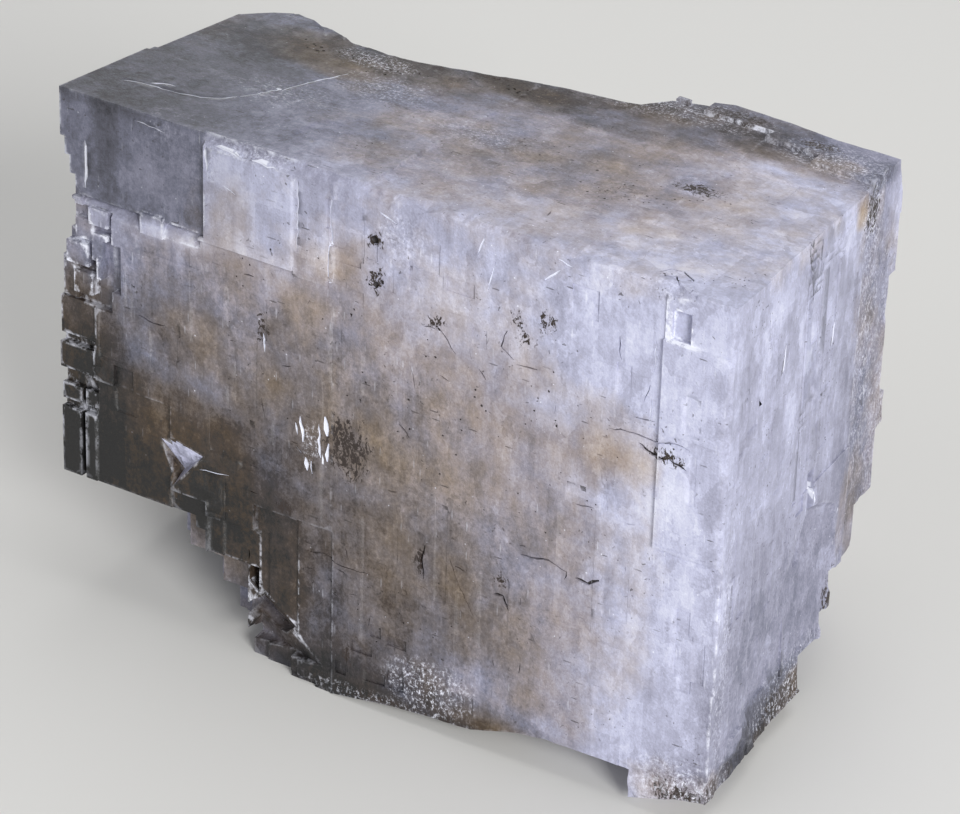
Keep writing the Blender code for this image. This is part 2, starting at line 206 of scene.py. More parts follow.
bpy.ops.object.select_all(action="DESELECT")
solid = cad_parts["magnesite_crystal"]
crystal = bpy.data.objects.new("magnesite_block", solid.data.copy())
bpy.context.collection.objects.link(crystal)
crystal.select_set(True)
bpy.context.view_layer.objects.active = crystal
bpy.ops.object.mode_set(mode="EDIT")
bpy.ops.mesh.select_all(action="SELECT")
bpy.ops.mesh.remove_doubles(threshold=MERGED * MM)
bpy.ops.mesh.dissolve_limited(angle_limit=FLAT)
bpy.ops.object.mode_set(mode="OBJECT")

# The main edges, kept as points, so that the skin knows how near each of them it is. The foot of
# the low step beside the front's right strip isn't one of them, so no bright chips or painted edge
# highlight line it.
SHARP = math.radians(24.0)          # a turn of more than this is an edge
EDGE_SAMPLE = 0.1                   # how far apart its points lie
STRIP_LOW, STRIP_HIGH = (-1.0, 9.5), (7.62, 28.6)
STRIP_CUT = 0.046                   # how much the strip is thinned below
STEP_FOOT, STEP_END = 0.3, 0.5      # how far around the step's foot and ends edges are left out

shape = bmesh.new()
shape.from_mesh(crystal.data)
edge_points = []
for edge in shape.edges:
    if edge.is_manifold and edge.calc_face_angle() > SHARP:
        start, end = (TO_CRYSTAL @ vert.co for vert in edge.verts)
        middle = (start + end) / 2.0
        if (abs(middle.x - STRIP_HIGH[0]) < STEP_FOOT and abs(middle.y) < STEP_FOOT
                and STRIP_LOW[1] - STEP_END < middle.z < STRIP_HIGH[1] + STEP_END):
            continue
        steps = max(1, int((end - start).length / EDGE_SAMPLE))
        edge_points += [start.lerp(end, index / steps) for index in range(steps + 1)]
shape.free()
edge_tree = KDTree(len(edge_points))
for index, point in enumerate(edge_points):
    edge_tree.insert(point, index)
edge_tree.balance()


def cut_away(cutter):
    """Take the cutter's shape out of the crystal and delete the cutter."""
    bpy.ops.object.select_all(action="DESELECT")
    bpy.context.view_layer.objects.active = crystal
    modifier = crystal.modifiers.new("cut", "BOOLEAN")
    modifier.operation = "DIFFERENCE"
    modifier.object = cutter
    modifier.solver = "MANIFOLD"
    bpy.ops.object.modifier_apply(modifier=modifier.name)
    bpy.data.objects.remove(cutter, do_unlink=True)


def join_cutters(cutters):
    """One cutter of many that stand apart."""
    bpy.ops.object.select_all(action="DESELECT")
    for cutter in cutters:
        cutter.select_set(True)
    bpy.context.view_layer.objects.active = cutters[0]
    bpy.ops.object.join()
    return cutters[0]


def face_outwards(made):
    """Turn all faces of a closed shape outwards."""
    shape = bmesh.new()
    shape.from_mesh(made.data)
    bmesh.ops.recalc_face_normals(shape, faces=shape.faces)
    shape.to_mesh(made.data)
    shape.free()


def skin_tree():
    """The crystal's present skin, kept for finding how high it stands."""
    skin = bmesh.new()
    skin.from_mesh(crystal.data)
    tree = BVHTree.FromBMesh(skin)
    skin.free()
    return tree


RAY_START, RAY_REACH = 6.0, 20.0    # how far over a face a ray to the skin starts, and reaches


def skin_height(tree, face, along, across):
    """How far the skin stands over the plane of a face at one place, in millimetres."""
    start = TO_SPACE @ on_face(face, along, across, RAY_START)
    inward = TO_SPACE @ on_face(face, along, across, 0.0) - start
    hit = tree.ray_cast(start, inward.normalized(), RAY_REACH * MM)[0]
    return height_over(face, TO_CRYSTAL @ hit) if hit else 0.0


CUTTER_TOP = 2.0                    # how far a plate's cutter stands over the plate's bed


def cut_plate(tree, face, low, high, depth, lean):
    """Take a shallow cleavage plate, level or leaning a little, from between two corners."""
    middle = ((low[0] + high[0]) / 2.0, (low[1] + high[1]) / 2.0)
    bed = skin_height(tree, face, *middle) - depth
    bpy.ops.object.select_all(action="DESELECT")
    bpy.ops.mesh.primitive_cube_add(size=2.0)
    box = bpy.context.object
    for vert in box.data.vertices:
        u = high[0] if vert.co.x > 0.0 else low[0]
        v = high[1] if vert.co.y > 0.0 else low[1]
        tilt = lean[0] * (u - middle[0]) + lean[1] * (v - middle[1])
        vert.co = TO_SPACE @ on_face(face, u, v, bed + (CUTTER_TOP if vert.co.z > 0.0 else tilt))
    face_outwards(box)
    cut_away(box)


# Shallow plates: thin steps that cleaving leaves on each face, as face, how many, where along
# and across, how wide, how tall, how deep and how far they may lean.
PLATE_RUNS = [("front", 12, (51.5, 60.5), (14.0, 44.0), (1.5, 6.0), (2.0, 9.0), (0.03, 0.09), 0.0),
              ("front", 9, (62.5, 74.0), (12.5, 31.0), (1.5, 7.0), (1.0, 6.0), (0.04, 0.10), 0.0),
              ("front", 14, (9.0, 48.0), (3.0, 52.0), (1.2, 5.0), (4.0, 16.0), (0.02, 0.05), 0.0),
              ("front", 5, (0.8, 5.5), (10.0, 50.0), (0.8, 2.0), (3.0, 9.0), (0.04, 0.10), 0.0),
              ("front", 14, (10.0, 46.0), (1.5, 12.0), (1.5, 4.5), (1.5, 4.0), (0.05, 0.14), 0.06),
              ("front", 9, (24.0, 44.0), (50.0, 57.0), (1.0, 3.0), (1.0, 3.0), (0.10, 0.3), 0.10),
              ("top", 7, (6.0, 56.0), (3.0, 30.0), (2.0, 9.0), (1.5, 6.0), (0.02, 0.05), 0.02),
              ("right", 20, (1.0, 34.0), (2.0, 50.0), (0.6, 2.6), (5.0, 16.0), (0.02, 0.07), 0.0),
              ("right", 8, (2.0, 33.0), (4.0, 52.0), (1.0, 3.0), (2.5, 8.0), (0.04, 0.12), 0.05),
              ("back", 16, (8.0, 64.0), (6.0, 46.0), (1.5, 5.0), (2.0, 6.0), (0.06, 0.2), 0.05),
              ("left", 8, (4.0, 32.0), (6.0, 34.0), (1.5, 4.0), (2.0, 7.0), (0.05, 0.12), 0.03)]

rng = random.Random(11)
skin = skin_tree()
cut_plate(skin, "front", STRIP_LOW, STRIP_HIGH, STRIP_CUT, (0.0, 0.0))
for face, count, first, second, wide, tall, deep, lean in PLATE_RUNS:
    for index in range(count):
        low = (rng.uniform(*first), rng.uniform(*second))
        high = (low[0] + rng.uniform(*wide), low[1] + rng.uniform(*tall))
        cut_plate(skin, face, low, high, rng.uniform(*deep),
                  (rng.uniform(-lean, lean), rng.uniform(-lean, lean)))

# Cracks filled with iron oxide, and bright splits, some of them painted glints: face, points along
# each, and its width.
CRACKS = [("front", [(49.4, 44.2), (46.8, 43.9), (44.6, 44.4), (41.0, 44.2)], 0.12),
          ("front", [(22.9, 35.4), (19.6, 35.0), (17.4, 35.6)], 0.11),
          ("front", [(16.4, 35.9), (14.9, 36.1), (13.6, 35.2)], 0.30),
          ("front", [(13.4, 17.6), (11.2, 17.2), (8.0, 17.3), (5.6, 16.6), (3.9, 16.9)], 0.11),
          ("front", [(9.9, 18.1), (8.3, 18.9), (6.8, 18.8)], 0.32),
          ("front", [(6.2, 18.6), (4.2, 19.2)], 0.22),
          ("front", [(10.6, 15.4), (8.2, 15.2)], 0.11),
          ("front", [(34.4, 38.3), (34.7, 40.2), (34.5, 42.4)], 0.22),
          ("front", [(31.5, 38.6), (30.4, 41.2), (28.2, 44.8)], 0.08),
          ("front", [(70.3, 23.0), (68.4, 23.4), (66.9, 23.3)], 0.15),
          ("front", [(26.0, 41.2), (24.9, 41.0), (24.2, 42.6)], 0.30),
          ("front", [(54.9, 27.2), (54.4, 30.0)], 0.09),
          ("front", [(16.8, 27.4), (14.6, 27.1)], 0.12),
          ("front", [(37.9, 25.2), (36.6, 26.4)], 0.17),
          ("front", [(33.9, 12.6), (32.3, 13.9), (31.4, 15.2)], 0.11),
          ("front", [(35.1, 13.2), (33.8, 13.0)], 0.09),
          ("front", [(12.6, 7.2), (12.4, 9.6)], 0.09),
          ("front", [(8.9, 11.3), (9.6, 13.4)], 0.09),
          ("front", [(28.6, 15.9), (27.7, 16.8)], 0.18),
          ("front", [(36.8, 17.8), (36.0, 20.6)], 0.09),
          ("front", [(25.4, 10.6), (26.1, 12.6), (24.6, 13.6)], 0.17),
          ("front", [(24.2, 14.0), (21.8, 13.9)], 0.11),
          ("top", [(9.7, 2.7), (9.0, 3.9), (7.8, 4.2), (6.2, 3.1), (5.4, 1.6), (5.1, 0.4)], 0.12),
          ("top", [(9.2, 1.8), (7.9, 2.8), (6.9, 1.4)], 0.09),
          ("top", [(46.0, 5.6), (44.2, 6.4)], 0.11),
          ("top", [(22.6, 15.1), (20.4, 16.8), (18.0, 17.4)], 0.17),
          ("top", [(21.4, 17.6), (19.6, 18.4)], 0.22),
          ("top", [(16.9, 20.9), (14.6, 22.0)], 0.18),
          ("top", [(27.4, 19.0), (24.8, 20.4)], 0.11)]
SPLITS_AND_GLINTS = [
    ("top", [(76.6, 5.9), (75.2, 6.6), (73.4, 6.9), (70.6, 7.0), (67.7, 7.8), (65.6, 9.4),
            (64.2, 11.9), (63.1, 15.0), (62.4, 18.5), (61.4, 21.8), (60.2, 25.1)], 0.21),
    ("top", [(73.9, 7.4), (72.8, 8.2), (71.4, 8.5)], 0.45),
    ("front", [(76.9, 5.0), (76.8, 7.6), (76.9, 10.4)], 0.36),
    ("front", [(50.3, 1.6), (50.2, 5.0), (50.3, 9.4)], 0.16),
    ("front", [(46.5, 2.0), (46.4, 6.4), (46.6, 12.2)], 0.14),
    ("front", [(8.5, 6.3), (8.5, 9.7)], 0.13), ("front", [(8.7, 12.9), (8.8, 16.2)], 0.15),
    ("front", [(7.6, 23.8), (7.6, 25.8)], 0.15), ("front", [(28.3, 0.9), (29.0, 3.3)], 0.24),
    ("front", [(27.0, 3.5), (27.7, 6.8)], 0.21), ("front", [(19.6, 2.1), (21.3, 3.7)], 0.21),
    # Beside the brown lump these white splits are painted glints.
    ("front", [(46.9, 27.4), (46.6, 29.6)], 0.60), ("front", [(47.6, 28.4), (47.4, 32.4)], 0.30),
    ("front", [(46.4, 30.4), (46.6, 32.6)], 0.40), ("front", [(49.9, 28.3), (49.5, 31.2)], 0.45),
    ("front", [(50.5, 29.2), (50.3, 30.6)], 0.25), ("front", [(49.2, 32.9), (49.0, 34.4)], 0.50),
    ("front", [(48.5, 33.1), (48.4, 34.6)], 0.30), ("front", [(50.4, 32.0), (49.8, 32.6)], 0.25),
    ("front", [(62.6, 38.9), (58.8, 38.4)], 0.12), ("front", [(54.6, 20.2), (54.4, 22.3)], 0.20),
    ("front", [(61.4, 0.9), (61.2, 3.6)], 0.30), ("front", [(60.6, 0.7), (57.4, 0.9)], 0.24),
    ("front", [(55.8, 0.9), (52.6, 1.0)], 0.20), ("front", [(40.6, 2.2), (38.6, 3.0)], 0.22),
    ("front", [(59.2, 4.7), (57.6, 5.2)], 0.16), ("front", [(70.8, 0.9), (66.8, 1.2)], 0.12),
    ("front", [(13.2, 25.2), (13.1, 26.8)], 0.14), ("front", [(20.0, 1.0), (18.2, 1.4)], 0.16),
    ("right", [(9.5, 3.6), (9.9, 8.2)], 0.16), ("right", [(14.2, 9.5), (13.6, 13.2)], 0.30),
    ("right", [(15.2, 10.4), (14.6, 12.2)], 0.16), ("right", [(8.4, 9.6), (7.8, 11.4)], 0.22),
    ("right", [(19.0, 20.2), (16.5, 24.5)], 0.12), ("right", [(28.6, 12.1), (28.0, 15.6)], 0.34),
    ("right", [(21.5, 25.0), (21.2, 27.4)], 0.16), ("right", [(30.3, 22.0), (30.0, 25.4)], 0.16),
    ("right", [(24.6, 30.3), (25.4, 32.2), (26.1, 34.1)], 0.33),
    ("right", [(33.5, 37.5), (33.1, 38.6)], 0.30)]
DEPTHS = {"dark": 0.36, "bright": 0.12}
CRACK_STEP = 0.7                    # a crack turns a little at about each of these
CRACK_SWAY = 0.10                   # and sways this far to either side
HALF_WIDTH = (0.3, 0.6)             # half its width at each turn, as a share of its whole width
TIP_SHARE = 0.35                    # what is left of that at its ends
CRACK_TOP = 0.3                     # how far its cutter stands over the skin

# Short dark cracks, mostly along the cleavages: face, how many, and where along and across.
LOOSE_LENGTH, LOOSE_WIDTH = (0.3, 1.3), (0.08, 0.18)
LOOSE_TURNS = (0.0, 0.1, 1.45, 1.6, 2.9)
LOOSE_CRACKS = [("front", 60, (9.0, 60.0), (11.0, 52.0)), ("top", 26, (4.0, 58.0), (4.0, 34.0)),
                ("right", 26, (2.0, 33.0), (3.0, 52.0)), ("back", 40, (6.0, 66.0), (5.0, 50.0)),
                ("left", 16, (3.0, 34.0), (4.0, 36.0))]

for face, how_many, first, second in LOOSE_CRACKS:
    for index in range(how_many):
        u, v = rng.uniform(*first), rng.uniform(*second)
        length = rng.uniform(*LOOSE_LENGTH)
        turn = rng.choice(LOOSE_TURNS) + rng.uniform(-0.2, 0.2)
        CRACKS.append((face, [(u, v), (u + length * math.cos(turn), v + length * math.sin(turn))],
                       rng.uniform(*LOOSE_WIDTH)))


def crack_cutter(tree, face, points, width, depth):
    """A crack's ragged wedge, widest in the middle. Returns it and the line of its foot."""
    path = [Vector(points[0])]
    for start, end in zip(points, points[1:]):
        start, end = Vector(start), Vector(end)
        steps = max(1, round((end - start).length / CRACK_STEP))
        side = Vector((start.y - end.y, end.x - start.x)).normalized()
        path += [start.lerp(end, index / steps) + side * rng.uniform(-CRACK_SWAY, CRACK_SWAY)
                 for index in range(1, steps + 1)]
    columns = len(path)
    bpy.ops.object.select_all(action="DESELECT")
    bpy.ops.mesh.primitive_grid_add(x_subdivisions=columns - 1, y_subdivisions=1, size=2.0)
    wedge = bpy.context.object
    bpy.ops.object.mode_set(mode="EDIT")
    bpy.ops.mesh.select_all(action="SELECT")
    bpy.ops.mesh.extrude_region_move(TRANSFORM_OT_translate={"value": (0.0, 0.0, -1.0)})
    bpy.ops.object.mode_set(mode="OBJECT")
    foot = []
    halves = []
    sides = []
    for index, point in enumerate(path):
        before, after = path[max(index - 1, 0)], path[min(index + 1, columns - 1)]
        sides.append(Vector((before.y - after.y, after.x - before.x)).normalized())
        tapered = TIP_SHARE if index in (0, columns - 1) else 1.0
        halves.append(width * rng.uniform(*HALF_WIDTH) * tapered)
        bed = skin_height(tree, face, point.x, point.y) - depth
        foot.append(on_face(face, point.x, point.y, bed))
    for order, vert in enumerate(wedge.data.vertices):
        column = order % columns
        reach = halves[column] * (1.0 if order // columns % 2 else -1.0)
        deep = order >= 2 * columns
        spread = 1.0 if deep else 1.0 + 2.0 * depth
        spot = path[column] + sides[column] * reach * spread
        height = height_over(face, foot[column]) + (0.0 if deep else depth + CRACK_TOP)
        vert.co = TO_SPACE @ on_face(face, spot.x, spot.y, height)
    face_outwards(wedge)
    return wedge, foot


skin = skin_tree()
feet = {"dark": [], "bright": []}
for kind, lines in (("dark", CRACKS), ("bright", SPLITS_AND_GLINTS)):
    wedges = []
    for face, points, width in lines:
        wedge, foot = crack_cutter(skin, face, points, width, DEPTHS[kind])
        wedges.append(wedge)
        feet[kind] += [(AXIS_OF[FACES[face][0]], start, end, width, rng.uniform(0.3, 1.0))
                       for start, end in zip(foot, foot[1:])]
    cut_away(join_cutters(wedges))

# Dark grains of iron oxide in small pits: face, place along and across, radius; and clusters of
# them: face, middle, spread, how many and their radii.
SCATTER = 0.6                       # how much of a cluster's spread its grains keep to
GRAIN_LENGTH, GRAIN_DEPTH = (0.45, 1.0), 0.8    # a grain's size each way, against its radius
GRAINS = [("front", 41.2, 5.4, 0.62), ("front", 40.7, 5.9, 0.4), ("front", 41.8, 5.9, 0.3),
          ("front", 40.7, 9.1, 0.4), ("front", 41.0, 10.4, 0.5), ("front", 40.3, 9.9, 0.35),
          ("front", 40.6, 10.9, 0.3), ("front", 43.9, 14.7, 0.4), ("front", 44.3, 14.3, 0.25)]
CLUSTERS = [("front", (27.5, 11.8), (1.5, 1.5), 7, (0.08, 0.16)),
            ("front", (53.0, 20.0), (8.0, 8.0), 26, (0.08, 0.18)),
            ("front", (36.0, 26.0), (14.0, 12.0), 48, (0.08, 0.2)),
            ("front", (18.0, 26.0), (9.0, 16.0), 30, (0.08, 0.18)),
            ("front", (40.0, 48.0), (10.0, 5.0), 26, (0.08, 0.2)),
            ("top", (22.0, 17.5), (5.0, 3.0), 34, (0.08, 0.24)),
            ("top", (16.0, 21.0), (4.0, 2.0), 16, (0.1, 0.26)),
            ("top", (32.0, 22.0), (6.0, 4.0), 20, (0.08, 0.2)),
            ("top", (43.6, 34.2), (2.2, 0.8), 16, (0.16, 0.42)),
            ("top", (58.0, 30.0), (6.0, 2.0), 26, (0.12, 0.34)),
            ("top", (66.5, 29.5), (3.0, 1.5), 14, (0.14, 0.36)),
            ("top", (48.0, 8.0), (4.0, 3.0), 12, (0.08, 0.2)),
            ("top", (2.4, 5.8), (1.4, 1.6), 9, (0.10, 0.2)),
            ("top", (8.0, 2.6), (2.0, 1.2), 9, (0.08, 0.16)),
            ("back", (30.0, 20.0), (18.0, 14.0), 26, (0.10, 0.34)),
            ("back", (58.0, 34.0), (4.0, 4.0), 14, (0.14, 0.45)),
            ("left", (16.0, 20.0), (10.0, 10.0), 12, (0.10, 0.3))]

for face, middle, spread, how_many, radii in CLUSTERS:
    for index in range(how_many):
        GRAINS.append((face, rng.gauss(middle[0], spread[0] * SCATTER),
                       rng.gauss(middle[1], spread[1] * SCATTER), rng.uniform(*radii)))

skin = skin_tree()
pits = []
grains = []
for index, (face, u, v, radius) in enumerate(GRAINS):
    axis = AXIS_OF[FACES[face][0]]
    rim = skin_height(skin, face, u, v)
    middle = on_face(face, u, v, rim)
    if any(axis == other[0] and (middle - other[1]).length < radius + other[2]
           for other in pits):
        continue
    pits.append((axis, middle, radius, FACES[face][4]))
    bpy.ops.object.select_all(action="DESELECT")
    bpy.ops.mesh.primitive_ico_sphere_add(subdivisions=1, radius=1.0)
    ball = bpy.context.object
    turn = Matrix.Rotation(rng.uniform(0.0, math.pi), 3, "XYZ"[axis])
    stretch = Vector([rng.uniform(*GRAIN_LENGTH) for _ in range(3)])
    stretch[axis] = GRAIN_DEPTH
    for vert in ball.data.vertices:
        swell = radius * (1.0 + 0.5 * noise.noise(vert.co * 2.0 + Vector((index * 3.1, 0.0, 0.0))))
        vert.co = TO_SPACE @ (middle + turn @ (vert.co * stretch) * swell)
    face_outwards(ball)
    grains.append(ball)
cut_away(join_cutters(grains))

# The net: planes along the crystal axes, which cut the skin into small patches.
GRID = 0.85                         # its spacing in millimetres
GRID_START = -1.0
GRID_SHIFT = 0.37                   # keeps its planes off the faces themselves

bpy.ops.object.mode_set(mode="EDIT")
for axis, reach in (("a", 84.0), ("b", 52.0), ("c", 62.0)):
    square = Vector(TO_CRYSTAL.to_3x3()[AXIS_OF[axis]]).normalized()
    step_to = Vector((0.0, 0.0, 0.0))
    for index in range(int(reach / GRID)):
        step_to[AXIS_OF[axis]] = GRID_START + (index + GRID_SHIFT) * GRID
        bpy.ops.mesh.select_all(action="SELECT")
        bpy.ops.mesh.bisect(plane_co=TO_SPACE @ step_to, plane_no=square, threshold=1e-6)
bpy.ops.object.mode_set(mode="OBJECT")

# Where each point lies and how broken the stone is there: the share of the skin around it that
# isn't level with one of the faces.
LEVEL = 0.985                       # the least cosine of a level patch's turn from its face

mesh = crystal.data
count = len(mesh.vertices)
places = np.empty(count * 3)
mesh.vertices.foreach_get("co", places)
places = places.reshape(-1, 3)
matrix = np.array(TO_CRYSTAL)
spots = places @ matrix[:3, :3].T + matrix[:3, 3]
normals = np.empty(count * 3)
mesh.vertices.foreach_get("normal", normals)
normals = normals.reshape(-1, 3)

face_directions = np.array([face_normal(face) for face in FACES])
broken = np.zeros(count)
shares = np.zeros(count)
for polygon in mesh.polygons:
    level_face = np.abs(face_directions @ np.array(polygon.normal)).max() > LEVEL
    for index in polygon.vertices:
        shares[index] += polygon.area
        if not level_face:
            broken[index] += polygon.area
broken /= np.maximum(shares, 1e-12)


def field(points, size, seed, detail=3):
    """Fractal noise at some places, about -1 to 1, with features of that size in millimetres."""
    shift = Vector((seed * 7.3, seed * 3.1, seed * 5.7))
    return np.array([noise.fractal(Vector(point) / size + shift, 1.0, 2.0, detail)
                     for point in points]) * 1.4


def blob(points, middle, reach):
    """1 in the middle of an egg-shaped zone, falling to 0 at its edge."""
    away = np.linalg.norm((points - np.array(middle)) / np.array(reach), axis=1)
    return np.clip(1.0 - away, 0.0, 1.0)


# How light the stone is painted, from 0 to 255: its level along and down each face, and zones that
# are lighter or darker, each with its middle, its reach and the change in level. Besides its own
# tone and stains these levels hold painted light and shade: each face is painted lighter or darker
# as the light falls on it.
FRONT_LIGHT, FRONT_FALL = 195.0, 172.0      # the front at its lightest, and how far it darkens
FRONT_ALONG = ([0, 10, 20, 30, 45, 60, 80], [0, 0.02, 0.30, 0.56, 0.75, 0.93, 1.0])
FRONT_DOWN = ([0, 4, 10, 14, 22, 27, 38, 45, 60], [0, 0.04, 0.14, 0.3, 0.58, 0.66, 0.9, 1.0, 1.0])
TOP_ALONG = ([0, 6, 12, 22, 37, 50, 60, 70, 80], [186, 185, 176, 153, 138, 131, 104, 74, 64])
RIGHT_DOWN = ([0, 30, 48, 60], [174, 168, 146, 138])
LEVEL_ZONES = [
    ((67.9, 0.0, 6.5), (6.0, 2.0, 5.0), 26.0), ((65.5, 0.0, 12.3), (5.5, 2.5, 1.6), 46.0),
    ((68.5, 0.0, 12.2), (1.8, 2.5, 1.8), 40.0), ((62.0, 0.0, 17.0), (10.0, 3.0, 5.0), -14.0),
    ((77.0, 0.0, 18.0), (4.5, 3.0, 6.5), -18.0), ((75.0, 6.0, 0.0), (9.0, 8.0, 2.0), -10.0),
    ((8.0, 0.0, 40.0), (8.0, 3.0, 22.0), 10.0), ((2.9, 0.0, 54.9), (8.0, 8.0, 5.0), -8.0),
    ((0.0, 8.0, 42.0), (3.0, 6.0, 16.0), -18.0), ((0.0, 24.0, 44.0), (3.0, 10.0, 12.0), -25.0),
    # The zone along the front's foot at (34, 0, 60.5) is darker partly for brown stone and partly
    # as painted shade along the foot.
    ((33.5, 0.0, 55.3), (7.0, 3.0, 4.5), 22.0), ((34.0, 0.0, 60.5), (26.0, 5.0, 6.0), -62.0),
    ((61.8, 0.0, 29.7), (5.0, 3.0, 3.5), 18.0), ((32.0, 42.0, 0.0), (24.0, 12.0, 3.0), -78.0),
    ((52.0, 34.0, 0.0), (17.0, 8.0, 3.0), -60.0), ((9.0, 42.5, 0.0), (13.0, 7.0, 2.5), -75.0),
    ((2.0, 36.0, 0.0), (5.0, 5.0, 2.0), -20.0), ((0.0, 18.0, 61.0), (4.0, 22.0, 9.0), -84.0),
    ((0.0, 39.0, 24.0), (5.0, 9.0, 38.0), -34.0), ((26.0, 20.0, 0.0), (20.0, 11.0, 3.0), -20.0),
    ((78.0, 0.0, 34.0), (7.0, 4.0, 16.0), -48.0), ((58.0, 1.0, 47.0), (9.0, 6.0, 13.0), -22.0),
    ((12.0, 0.0, 20.0), (6.0, 3.0, 6.0), -26.0), ((3.0, 1.0, 58.5), (10.0, 12.0, 6.0), -22.0),
    ((0.0, 6.0, 30.0), (3.0, 11.0, 36.0), -10.0), ((6.0, 0.0, 48.0), (8.0, 3.0, 13.0), -14.0),
    ((0.0, 14.0, 58.0), (3.0, 13.0, 9.0), -44.0), ((60.5, 0.0, 23.5), (7.0, 3.0, 8.0), 17.0),
    ((43.5, 0.0, 41.5), (10.0, 3.0, 11.0), 18.0), ((76.0, 0.0, 17.0), (5.0, 3.0, 6.0), 27.0),
    ((46.5, 0.0, 7.0), (4.0, 2.0, 8.0), -12.0), ((67.0, 27.0, 0.0), (13.0, 9.0, 2.0), -32.0),
    ((17.0, 0.0, 30.0), (9.0, 3.0, 12.0), -12.0), ((76.0, 25.0, 0.0), (9.0, 7.0, 2.0), -28.0),
    ((62.0, 1.0, 46.0), (5.0, 6.0, 6.0), -30.0), ((2.5, 0.0, 60.5), (7.0, 9.0, 3.0), 26.0),
    ((24.0, 9.0, 0.0), (14.0, 6.0, 2.0), 13.0), ((27.0, 0.0, 29.0), (7.0, 3.0, 7.0), 11.0),
    ((40.0, 0.0, 57.0), (10.0, 3.0, 5.0), -18.0), ((27.0, 0.0, 53.5), (6.0, 3.0, 6.0), 17.0),
    ((55.0, 0.0, 12.8), (6.0, 3.0, 4.0), 8.0)]

# The raised block at the front's upper left is smoky and clear, and painted darker, partly for its
# own smoky tone and partly as painted darkness for the dark seen through its clear stone; it is
# lighter at its top, with a darker band across it. The plate beside it is pale, and less so in its
# lower left part.
SMOKY_FROM, SMOKY_FOOT, SMOKY_BAND = 61.6, 11.6, (73.2, 75.8)
PALE_FROM, PALE_TO, PALE_FOOT, PALE_PART = 50.6, 61.8, 11.9, (57.2, 5.0)

a, b, c = spots.T
front_level = FRONT_LIGHT - FRONT_FALL * np.interp(a, *FRONT_ALONG) * np.interp(c, *FRONT_DOWN)
smoky = (a > SMOKY_FROM) & (c < SMOKY_FOOT)
banded = smoky & (a > SMOKY_BAND[0]) & (a < SMOKY_BAND[1])
pale = (a > PALE_FROM) & (a < PALE_TO) & (c < PALE_FOOT)
less_pale = pale & (a > PALE_PART[0]) & (c > PALE_PART[1])
front_level = np.where(smoky, 112.0 + 14.0 * np.clip(1.0 - c / 3.0, 0.0, 1.0), front_level)
for part, part_level in ((banded, 97.0), (pale, 196.0), (less_pale, 176.0)):
    front_level = np.where(part, part_level, front_level)

# Near an edge the levels of its faces run into each other, over a shorter way at the left.
RIGHT_FADE, BACK_SHARE = 1.5, 0.02

# The top darkens towards its left in the same way, partly its own smoky tone and partly painted
# darkness for the dark seen through its clear stone.
top_level = np.interp(a, *TOP_ALONG) + np.clip(a - 55.0, 0.0, 15.0) / 15.0 * np.clip(b, 0.0, 25.0)
right_level = np.interp(c, *RIGHT_DOWN)
fade = np.interp(a, [0.0, 40.0, 52.0], [5.0, 4.0, 0.7])
near = [np.exp(-np.clip(b, 0.0, None) / fade), np.exp(-np.clip(c, 0.0, None) / fade),
        np.exp(-np.clip(a, 0.0, None) / RIGHT_FADE)]
# The back's level is raised as painted light, to offset the shade it stands in; it falls towards
# the left and down to the foot.
back_level = np.interp(a, [0.0, 30.0, 80.0], [206.0, 190.0, 124.0]) - 0.4 * c
level = ((near[0] * front_level + near[1] * top_level + near[2] * right_level
          + BACK_SHARE * back_level) / (near[0] + near[1] + near[2] + BACK_SHARE))
for middle, reach, change in LEVEL_ZONES:
    level += change * np.sqrt(blob(spots, middle, reach))
